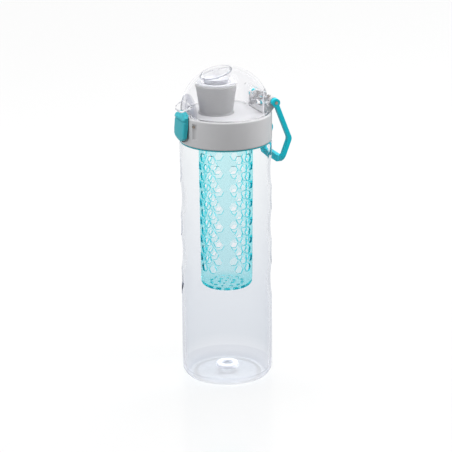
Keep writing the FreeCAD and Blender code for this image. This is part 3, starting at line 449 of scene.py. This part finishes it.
def grade_tint_with_shade(tree, foot, low, high):
    """The tint is greyest low on the wall and faint at the shoulder and under the base: the greyer low tint
    is painted shade of the lower wall, laid over the copolyester's own pale tint."""
    greyest = (0.1, 0.3)
    place = add_node(tree, "ShaderNodeTexCoord")
    height = add_node(tree, "ShaderNodeSeparateXYZ", None, {0: place.outputs["Object"]})
    level = add_node(tree, "ShaderNodeMapRange", None,
                     {"Value": height.outputs["Z"], "From Max": BODY_TOP.z})
    ramp = add_node(tree, "ShaderNodeValToRGB", None, {0: level.outputs[0]})
    ramp.color_ramp.elements[0].color = with_alpha(foot)
    ramp.color_ramp.elements[1].color = with_alpha(high)
    for share in greyest:
        ramp.color_ramp.elements.new(share).color = with_alpha(low)
    shade = next(node for node in tree.nodes if node.bl_idname == "ShaderNodeMix")
    tree.links.new(ramp.outputs[0], shade.inputs[6])


def frosted_plastic(name, tone):
    """Copolyester left rough where it was cut from its mould: it scatters light and looks white."""
    material, tree, output = new_material(name)
    grit = grain(tree, 0.4 * MM)
    shader = add_node(tree, "ShaderNodeBsdfPrincipled", None,
                      {"Base Color": with_alpha(tone), "Roughness": 0.6, "IOR": PLASTIC_INDEX,
                       "Normal": relief(tree, grit, 0.02 * MM)})
    tree.links.new(shader.outputs[0], output.inputs["Surface"])
    return material


def milky_silicone(name, tone):
    """Soft silicone: milky, half clear, with a dull skin."""
    material, tree, output = new_material(name)
    skin = grain(tree, 0.8 * MM)
    shader = add_node(tree, "ShaderNodeBsdfPrincipled", None,
                      {"Base Color": with_alpha(tone), "Roughness": 0.38, "IOR": 1.41,
                       "Transmission Weight": 0.15, "Subsurface Weight": 0.6,
                       "Subsurface Radius": (1, 1, 1), "Subsurface Scale": 3 * MM,
                       "Normal": relief(tree, skin, 0.01 * MM)})
    tree.links.new(shader.outputs[0], output.inputs["Surface"])
    return material


def drawn_steel(name, tone):
    """Stainless wire and rod, drawn through a die: bright, with fine streaks along Y, as the pins lie."""
    streak_size = 0.25 * MM
    stretch = (1.0, 0.04, 1.0)
    material, tree, output = new_material(name)
    place = add_node(tree, "ShaderNodeTexCoord")
    along = add_node(tree, "ShaderNodeMapping", None,
                     {"Vector": place.outputs["Object"], "Scale": stretch})
    streak = add_node(tree, "ShaderNodeTexNoise", None,
                      {"Vector": along.outputs[0], "Scale": 1 / streak_size, "Detail": 2.0})
    gloss = add_node(tree, "ShaderNodeMapRange", None,
                     {"Value": streak.outputs["Fac"], "To Min": 0.22, "To Max": 0.42})
    shader = add_node(tree, "ShaderNodeBsdfPrincipled", None,
                      {"Base Color": with_alpha(tone), "Metallic": 1.0, "Roughness": gloss.outputs[0]})
    tree.links.new(shader.outputs[0], output.inputs["Surface"])
    return material


def honeycomb(sizes, angle, height, radius):
    """Depth of the dimples at points of the wall. Each is f = depth - s * s / (2 bend), s being the distance
    from its centre along the wall, and together they are blend * log(1 + sum exp(f / blend)), which
    melts the ridges."""
    row, place = np.meshgrid(np.arange(sizes.dimple_rows), np.arange(sizes.dimple_count), indexing="ij")
    step = 2 * np.pi / sizes.dimple_count
    middle = (place + 0.5 * (row % 2 == 0)).ravel() * step
    level = (sizes.dimple_low + row * sizes.dimple_pitch).ravel()
    total = np.zeros(np.broadcast(angle, height).shape)
    for turn, up in zip(middle, level):
        across = (angle - turn + np.pi) % (2 * np.pi) - np.pi
        spread = (radius * across) ** 2 + (height - up) ** 2
        total += np.exp((sizes.dimple_depth - spread / (2 * sizes.dimple_bend)) / sizes.ridge_blend)
    return sizes.ridge_blend * np.log1p(total)


def bottle_profile(sizes):
    """The bottle's wall in section, from the middle of the base out, up the outside, over the lip and down
    again, with close points where the dimples are."""
    outer = BODY_TOP.x
    inner = outer - sizes.wall
    top = BODY_TOP.z
    floor = sizes.base_recess + sizes.base_floor
    inside = sizes.shoulder_height - sizes.shoulder_wall
    ledge = top - sizes.rebate_depth
    lip = 0.5 * MM
    foot_round = 0.8 * MM
    margin = 1.5 * MM
    close = 1.05 * MM
    reach = math.sqrt(2 * sizes.dimple_bend * sizes.dimple_depth) + margin
    last = sizes.dimple_low + (sizes.dimple_rows - 1) * sizes.dimple_pitch
    dimpled = np.arange(sizes.dimple_low - reach, last + reach, close)
    return rounded_profile([
        (0, sizes.base_recess, 0),
        (sizes.recess_radius, sizes.base_recess, foot_round),
        (sizes.foot_radius, 0, foot_round),
        (outer, 0, sizes.base_corner),
        *[(outer, height, 0) for height in dimpled],
        (outer, sizes.shoulder_height, sizes.shoulder_round),
        (sizes.neck_radius, sizes.shoulder_height, lip),
        (sizes.neck_radius, top, lip),
        (sizes.rebate_radius, top, lip),
        (sizes.rebate_radius, ledge, lip),
        (sizes.mouth_radius, ledge, lip),
        (sizes.mouth_radius, inside, lip),
        (inner, inside, lip),
        *[(inner, height, 0) for height in dimpled[::-1]],
        (inner, floor, sizes.floor_corner),
        (sizes.gate_radius, floor, lip),
        (sizes.gate_radius, floor + sizes.gate_height, lip),
        (sizes.gate_bore, floor + sizes.gate_height, lip),
        (sizes.gate_bore, floor + sizes.gate_dish, lip),
        (0, floor + sizes.gate_dish, 0),
    ], steps=6)


class BOTTLE_OT_body(bpy.types.Operator):
    """Make the clear bottle with its honeycomb of dimples, and the frosted ring on its floor"""

    bl_idname = "bottle.body"
    bl_label = "Bottle"
    bl_options = {"REGISTER", "UNDO"}

    def execute(self, context):
        sizes = context.scene.bottle_sizes
        colours = context.scene.bottle_colours
        material = clear_plastic("clear_copolyester_blown", colours.clear_low, colours.corner_shade,
                                 colours.clear_depth, density=18, bend=1.03)
        # Painted shade: the wall's tint turns greyer towards the base, by height.
        grade_tint_with_shade(material.node_tree, colours.clear_foot, colours.clear_low, colours.clear_high)
        piece = grid_object("bottle_wall", self.dimpled_grid(sizes))
        self.mark_shaded_corner(piece.data, sizes)
        finish_piece(piece, material, "bottle", SLOTS["bottle_body"], "bottle_body")
        self.add_gate(sizes, colours)
        return {"FINISHED"}

    def dimpled_grid(self, sizes):
        """The section turned about Z, its outer and inner wall drawn in by the depth d of the dimples:
        r becomes r - d."""
        columns = 240
        row_step = 4 * MM
        wall_zone = 1.5 * sizes.wall
        grid = turned_grid(spaced(bottle_profile(sizes), row_step), columns)
        angle = np.arange(columns) * 2 * np.pi / columns
        radius = np.hypot(grid[..., 0], grid[..., 1])
        depth = honeycomb(sizes, angle, grid[..., 2], BODY_TOP.x)
        depth = np.where(radius > BODY_TOP.x - wall_zone, depth, 0)
        share = 1 - depth / np.maximum(radius, MM)
        grid[..., :2] *= share[..., None]
        return grid

    def mark_shaded_corner(self, mesh, sizes):
        """Marks the down-turned faces of the round at the foot of the wall, for a greyer tint that paints
        their shade.
        """
        corner_zone = 0.8 * sizes.base_corner
        level = -0.02
        normal, centre = face_table(mesh)
        outside = np.hypot(centre[:, 0], centre[:, 1]) > BODY_TOP.x - corner_zone
        low = centre[:, 2] < sizes.base_corner
        down = normal[:, 2] < level
        mark_faces(mesh, outside & low & down)

    def add_gate(self, sizes, colours):
        """The frosted ring over the gate boss: a rounded box section turned about Z."""
        edge = 0.9 * MM
        columns = 96
        side_skin = 0.3 * MM
        top_skin = 0.2 * MM
        bore_skin = 0.15 * MM
        sink = 0.3 * MM
        floor = sizes.base_recess + sizes.base_floor
        low, high = floor - sink, floor + sizes.gate_height + top_skin
        inner, outer = sizes.gate_bore - bore_skin, sizes.gate_radius + side_skin
        middle = (inner + outer) / 2
        section = rounded_profile([(middle, low, 0), (outer, low, 0), (outer, high, edge),
                                   (inner, high, edge), (inner, low, 0), (middle, low, 0)])
        ring = grid_object("gate_ring", turned_grid(section, columns))
        frosted = frosted_plastic("frosted_copolyester", colours.gate)
        finish_piece(ring, frosted, "bottle", SLOTS["bottle_body"])


class BOTTLE_OT_neck_thread(bpy.types.Operator):
    """Wind the thread round the bottle's neck"""

    bl_idname = "bottle.neck_thread"
    bl_label = "Neck Thread"
    bl_options = {"REGISTER", "UNDO"}

    def execute(self, context):
        """A four-cornered section carried along r = neck, z = pitch * turns, that closes to a point in the
        neck's wall at each end."""
        sizes = context.scene.bottle_sizes
        sink = 0.4 * MM
        run_in = 0.08
        end = 1.35
        steps = 200
        clear_of_shoulder = 2.2 * MM
        turns = np.linspace(0, end, steps)[:, None]
        rise = np.clip(np.minimum(turns, turns[::-1]) / run_in, 0, 1)
        out = (sizes.thread_height + sink) * rise * np.array([0, 1, 1, 0]) - sink
        up = sizes.thread_width / 2 * rise * np.array([-1, -0.4, 0.4, 1])
        radius = sizes.neck_radius + out
        height = sizes.shoulder_height + clear_of_shoulder + sizes.thread_pitch * turns + up
        angle = 2 * np.pi * turns
        grid = np.stack([radius * np.cos(angle), radius * np.sin(angle), height], axis=-1)
        material = bpy.data.materials["clear_copolyester_blown"]
        finish_piece(grid_object("neck_thread", grid), material, "bottle", SLOTS["bottle_body"])
        return {"FINISHED"}


class BOTTLE_OT_infuser(bpy.types.Operator):
    """Dress the perforated infuser basket"""

    bl_idname = "bottle.infuser"
    bl_label = "Infuser Basket"
    bl_options = {"REGISTER", "UNDO"}

    def execute(self, context):
        colours = context.scene.bottle_colours
        material = clear_plastic("teal_copolyester", colours.infuser, colours.infuser_edge_shade,
                                 colours.infuser_depth, density=190, bend=1.1)
        mesh = dressed("infuser_basket", material, smooth_angle=math.radians(28)).data
        normal, centre = face_table(mesh)
        facing = (normal[:, :2] * centre[:, :2]).sum(axis=1) / np.hypot(centre[:, 0], centre[:, 1])
        self.mark_shaded_holes(mesh, normal, centre, facing)
        self.round_wall(mesh, facing)
        return {"FINISHED"}

    def mark_shaded_holes(self, mesh, normal, centre, facing):
        """Marks the sides of the holes, for a deeper teal that paints their shade: faces turned away from the
        wall's normal, all those between floor and flange, and the upright ones elsewhere."""
        turned_away = 0.6
        floor_zone = 6 * MM
        flange_zone = 5 * MM
        low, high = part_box("infuser_basket")
        between = (centre[:, 2] > low.z + floor_zone) & (centre[:, 2] < high.z - flange_zone)
        upright = np.abs(normal[:, 2]) < turned_away
        mark_faces(mesh, (np.abs(facing) < turned_away) & (between | upright))

    def round_wall(self, mesh, facing):
        """Shades the pierced wall as a true round: its normals are (x, y, 0) / r, outwards or inwards."""
        square_on = 0.98
        turn = np.empty(len(mesh.loops) * 3)
        mesh.corner_normals.foreach_get("vector", turn)
        turn = turn.reshape(-1, 3)
        totals = np.empty(len(mesh.polygons), dtype=int)
        mesh.polygons.foreach_get("loop_total", totals)
        owner = np.repeat(np.arange(len(totals)), totals)
        corner = np.empty(len(mesh.loops), dtype=int)
        mesh.loops.foreach_get("vertex_index", corner)
        place = np.empty(len(mesh.vertices) * 3)
        mesh.vertices.foreach_get("co", place)
        place = place.reshape(-1, 3)[corner]
        radius = np.hypot(place[:, 0], place[:, 1])
        out = place[:, :2] / radius[:, None] * np.sign(facing[owner])[:, None]
        wall = (np.abs(facing) > square_on)[owner]
        turn[wall] = np.column_stack([out, np.zeros(len(out))])[wall]
        mesh.normals_split_custom_set(turn)


class BOTTLE_OT_lid(bpy.types.Operator):
    """Dress the screw lid, its liner and the drinking spout"""

    bl_idname = "bottle.lid"
    bl_label = "Lid and Spout"
    bl_options = {"REGISTER", "UNDO"}

    def execute(self, context):
        colours = context.scene.bottle_colours
        shell = moulded_plastic("grey_polypropylene_satin", colours.lid, rough=0.45)
        # The spout's darker grey is painted shade under the dome.
        spout = moulded_plastic("grey_polypropylene_shaded_spout", colours.spout, rough=0.5)
        liner = moulded_plastic("teal_polypropylene_satin", colours.latch, rough=0.4)
        dressed("lid_shell", shell, edge=0.35 * MM)
        dressed("drinking_spout", spout)
        dressed("lid_liner", liner)
        return {"FINISHED"}


class BOTTLE_OT_seals(bpy.types.Operator):
    """Dress the rim seal, the spout's ring and the stopper"""

    bl_idname = "bottle.seals"
    bl_label = "Seals"
    bl_options = {"REGISTER", "UNDO"}

    def execute(self, context):
        """Each is drawn in a little, so that its faces don't lie in those of the plastic round it."""
        silicone = milky_silicone("milky_silicone", context.scene.bottle_colours.silicone)
        for node in ("rim_seal", "spout_seal", "spout_stopper"):
            ease = dressed(node, silicone).modifiers.new("ease", "DISPLACE")
            ease.strength = -0.05 * MM
            ease.mid_level = 0
        return {"FINISHED"}


class BOTTLE_OT_dome(bpy.types.Operator):
    """Dress the clear flip dome, and make the round above its plug tube"""

    bl_idname = "bottle.dome"
    bl_label = "Dome"
    bl_options = {"REGISTER", "UNDO"}

    def execute(self, context):
        sizes = context.scene.bottle_sizes
        colours = context.scene.bottle_colours
        material = clear_plastic("clear_copolyester_moulded", colours.dome, colours.dome_flat_reflection,
                                 colours.clear_depth, density=8, bend=1.12, shine=0.05)
        piece = dressed("dome_cover", material, smooth_angle=math.radians(30))
        normal, centre = face_table(piece.data)
        # The square-on faces of the flat in front get a grey tint, a painted reflection.
        square_on = np.abs(normal[:, 0]) > 0.99
        in_front = centre[:, 0] < -28.5 * MM
        mark_faces(piece.data, square_on & in_front)
        self.add_fillet(sizes, colours)
        return {"FINISHED"}

    def add_fillet(self, sizes, colours):
        """The round where the plug tube meets the inside of the dome: a thin ring carried along
        x = c + a cos t, y = a sin t, z = m + sqrt(R * R - x * x - y * y)."""
        steps = 161
        sides = 12
        turn = np.linspace(0, 2 * np.pi, steps)[:, None]
        phase = np.arange(sides) * 2 * np.pi / sides
        across = sizes.plug_radius * np.cos(turn) - sizes.plug_offset
        along = sizes.plug_radius * np.sin(turn)
        height = sizes.dome_middle + np.sqrt(sizes.dome_inside ** 2 - across ** 2 - along ** 2)
        out = sizes.plug_fillet * np.cos(phase)
        grid = np.stack(np.broadcast_arrays(across + out * np.cos(turn), along + out * np.sin(turn),
                                            height + sizes.plug_fillet * np.sin(phase)), axis=-1)
        # The fillet's grey tint is painted shade, the dark line that the round shows.
        material = clear_plastic("shaded_copolyester_fillet", colours.fillet_shade, colours.fillet_shade,
                                 colours.clear_depth, density=8, bend=1.12)
        finish_piece(grid_object("plug_fillet", grid), material, "dome", SLOTS["dome_cover"])


class BOTTLE_OT_latch(bpy.types.Operator):
    """Make the push latch with its crowned face and the groove under its crown"""

    bl_idname = "bottle.latch"
    bl_label = "Latch"
    bl_options = {"REGISTER", "UNDO"}

    def execute(self, context):
        colours = context.scene.bottle_colours
        material = moulded_plastic("teal_polypropylene_latch", colours.latch, rough=0.48)
        grid = self.lever_grid(context.scene.bottle_sizes)
        piece = grid_object("latch_lever", grid, smooth_angle=math.radians(50))
        finish_piece(piece, material, "latch", SLOTS["latch_button"], "latch_button")
        return {"FINISHED"}

    def lever_grid(self, sizes):
        """Level sections, each |x / a|^n + |y / w|^n = 1 about its sides, with one n for the crowned face
        and another for the flat back. The half width w follows the arcs of the lever's foot and crown, and
        the sections shrink to a point at both ends."""
        rows = 240
        columns = 96
        end_zone = 2 * MM
        fuller = 0.2 * MM
        side_share = 0.3
        face_power = 6
        back_power = 12
        low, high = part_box("latch_button")
        up = (high.z - low.z) * (1 - np.cos(np.linspace(0, np.pi, rows)))[:, None] / 2
        down = high.z - low.z - up
        chin = np.sqrt(np.clip(2 * sizes.latch_chin_arc * up - up ** 2, 0, None))
        crown = np.sqrt(np.clip(2 * sizes.latch_crown_arch * down - down ** 2, 0, None))
        half = np.minimum(high.y + fuller, np.minimum(chin, crown))
        face = self.outline(up, LATCH_FACE)
        back = self.outline(up, LATCH_BACK)
        middle = (face + back) / 2
        ease = np.sqrt(np.clip(half / end_zone, 0, 1))
        face, back = middle + ease * (face - middle), middle + ease * (back - middle)
        side = back + side_share * (face - back)
        turn = np.linspace(0, 2 * np.pi, columns, endpoint=False)
        front = np.cos(turn) > 0
        power = 2 / np.where(front, face_power, back_power)
        reach = np.where(front, face - side, side - back) * self.squarer(np.cos(turn), power)
        across = half * self.squarer(np.sin(turn), power)
        return np.stack(np.broadcast_arrays(-side - reach, -across, low.z + up), axis=-1)

    def squarer(self, wave, power):
        """A sine or cosine with flatter tops: sign(wave) * |wave|^power."""
        return np.sign(wave) * np.abs(wave) ** power

    def outline(self, up, places):
        """Distance from the bottle's axis at each height, through places given in millimetres, its corners
        eased by a mean over nearby heights."""
        nearby = 0.2
        heights, outs = np.array(places).T * MM
        spread = np.linspace(-nearby, nearby, 9) * MM
        return np.interp(up + spread, heights, outs).mean(axis=1, keepdims=True)


class BOTTLE_OT_handle(bpy.types.Operator):
    """Dress the carry handle"""

    bl_idname = "bottle.handle"
    bl_label = "Handle"
    bl_options = {"REGISTER", "UNDO"}

    def execute(self, context):
        colours = context.scene.bottle_colours
        material = moulded_plastic("teal_polypropylene_handle", colours.handle, rough=0.45)
        dressed("carry_handle", material, edge=0.7 * MM)
        return {"FINISHED"}


class BOTTLE_OT_metalwork(bpy.types.Operator):
    """Dress the pins and springs"""

    bl_idname = "bottle.metalwork"
    bl_label = "Pins and Springs"
    bl_options = {"REGISTER", "UNDO"}

    def execute(self, context):
        colours = context.scene.bottle_colours
        # The pins' brownish tone is a painted warm reflection over stainless grey.
        steel = drawn_steel("drawn_stainless_steel_painted_warm", colours.steel)
        wire = drawn_steel("drawn_spring_wire", colours.spring)
        for node in ("hinge_pin", "latch_pin"):
            dressed(node, steel)
        for node in ("dome_spring", "latch_spring"):
            dressed(node, wire)
        return {"FINISHED"}


def visible_ray(tree):
    """1 for rays that come straight from the camera, by a mirror or through clear plastic, 0 for light's own
    bounces."""
    path = add_node(tree, "ShaderNodeLightPath")
    first = add_node(tree, "ShaderNodeMath", {"operation": "MAXIMUM"},
                     {0: path.outputs["Is Camera Ray"], 1: path.outputs["Is Glossy Ray"]})
    return add_node(tree, "ShaderNodeMath", {"operation": "MAXIMUM"},
                    {0: first.outputs[0], 1: path.outputs["Is Transmission Ray"]}).outputs[0]


def floor_material(tone, lift):
    """A white studio sweep, faintly glossy: part of its white is its own shade, which keeps the bottle's
    shadow, and the rest is lent to it where the camera looks."""
    own_share = 0.3
    material, tree, output = new_material("white_acrylic_sweep")
    shade = with_alpha(channel * own_share for channel in tone)
    sheet = add_node(tree, "ShaderNodeBsdfPrincipled", None,
                     {"Base Color": shade, "Roughness": 0.16, "IOR": 1.42})
    level = add_node(tree, "ShaderNodeMath", {"operation": "MULTIPLY"}, {0: visible_ray(tree), 1: lift})
    white = add_node(tree, "ShaderNodeEmission", None,
                     {"Color": with_alpha(tone), "Strength": level.outputs[0]})
    both = add_node(tree, "ShaderNodeAddShader", None, {0: sheet.outputs[0], 1: white.outputs[0]})
    tree.links.new(both.outputs[0], output.inputs["Surface"])
    return material


def studio_world(level):
    """White to look at, and soft even light for everything else."""
    world = bpy.data.worlds.new("studio_white")
    world.use_nodes = True
    tree = world.node_tree
    tree.nodes.clear()
    output = add_node(tree, "ShaderNodeOutputWorld")
    strength = add_node(tree, "ShaderNodeMapRange", None,
                        {"Value": visible_ray(tree), "To Min": level, "To Max": 1.0})
    sky = add_node(tree, "ShaderNodeBackground", None,
                   {"Color": (1, 1, 1, 1), "Strength": strength.outputs[0]})
    tree.links.new(sky.outputs[0], output.inputs["Surface"])
    return world


def add_lamp(name, place, size, power):
    """A square soft box at place that faces the bottle."""
    data = bpy.data.lights.new(name, "AREA")
    data.size = size
    data.energy = power
    lamp = bpy.data.objects.new(name, data)
    lamp.location = place
    lamp.rotation_euler = (Vector(LAMP_AIM) - Vector(place)).to_track_quat("-Z", "Y").to_euler()
    bpy.context.scene.collection.objects.link(lamp)


class BOTTLE_OT_stage(bpy.types.Operator):
    """Set the floor, the light and the camera"""

    bl_idname = "bottle.stage"
    bl_label = "Studio"
    bl_options = {"REGISTER", "UNDO"}

    def execute(self, context):
        scene = context.scene
        stage = scene.bottle_stage
        self.add_floor(scene.bottle_colours.floor, stage.floor_level)
        scene.world = studio_world(stage.world_level)
        for lamp in LAMPS:
            add_lamp(*lamp)
        self.add_camera(scene, stage)
        scene.view_settings.view_transform = "Standard"
        self.let_light_through(scene.cycles)
        return {"FINISHED"}

    def add_floor(self, tone, lift):
        """A square of floor that reaches far past the bottle on all sides."""
        reach = 6.0
        corners = [(-reach, -reach, 0), (reach, -reach, 0), (reach, reach, 0), (-reach, reach, 0)]
        mesh = bpy.data.meshes.new("floor")
        mesh.from_pydata(corners, [], [(0, 1, 2, 3)])
        mesh.materials.append(floor_material(tone, lift))
        add_object("floor", mesh)

    def let_light_through(self, cycles):
        """Light that runs along a clear wall turns back many times before it leaves; cut short, it would be
        black."""
        turns = 128
        cycles.max_bounces = turns
        cycles.transmission_bounces = turns
        cycles.glossy_bounces = turns
        cycles.transparent_max_bounces = 32

    def add_camera(self, scene, stage):
        """The camera stands at distance and height, turned by azimuth, and looks down by pitch."""
        data = bpy.data.cameras.new("camera")
        data.lens = stage.lens
        data.sensor_width = 36
        data.shift_x = stage.shift
        data.clip_end = 50
        camera = bpy.data.objects.new("camera", data)
        side = Matrix.Rotation(stage.azimuth, 4, "Z")
        tilt = Matrix.Rotation(math.pi / 2 - stage.pitch, 4, "X")
        lean = Matrix.Rotation(stage.roll, 4, "Z")
        place = Matrix.Translation(side @ Vector((0, -stage.distance, stage.height)))
        camera.matrix_world = place @ side @ tilt @ lean
        scene.collection.objects.link(camera)
        scene.camera = camera


PIECES = (
    BOTTLE_OT_body,
    BOTTLE_OT_neck_thread,
    BOTTLE_OT_infuser,
    BOTTLE_OT_lid,
    BOTTLE_OT_seals,
    BOTTLE_OT_dome,
    BOTTLE_OT_latch,
    BOTTLE_OT_handle,
    BOTTLE_OT_metalwork,
    BOTTLE_OT_stage,
)


class BOTTLE_PT_panel(bpy.types.Panel):
    """Lists the operators in the order in which they run"""

    bl_idname = "BOTTLE_PT_panel"
    bl_label = "Infuser Bottle"
    bl_space_type = "VIEW_3D"
    bl_region_type = "UI"
    bl_category = "Bottle"

    def draw(self, context):
        for piece in PIECES:
            self.layout.operator(piece.bl_idname)


CLASSES = (BottleSizes, BottleColours, StageSettings) + PIECES + (BOTTLE_PT_panel,)


def register():
    for made in CLASSES:
        bpy.utils.register_class(made)
    bpy.types.Scene.bottle_sizes = PointerProperty(type=BottleSizes)
    bpy.types.Scene.bottle_colours = PointerProperty(type=BottleColours)
    bpy.types.Scene.bottle_stage = PointerProperty(type=StageSettings)


def unregister():
    del bpy.types.Scene.bottle_stage
    del bpy.types.Scene.bottle_colours
    del bpy.types.Scene.bottle_sizes
    for made in reversed(CLASSES):
        bpy.utils.unregister_class(made)


def main():
    """Makes every piece and the stage in order."""
    register()
    for piece in PIECES:
        group, name = piece.bl_idname.split(".")
        getattr(getattr(bpy.ops, group), name)()


if __name__ == "__main__":
    main()
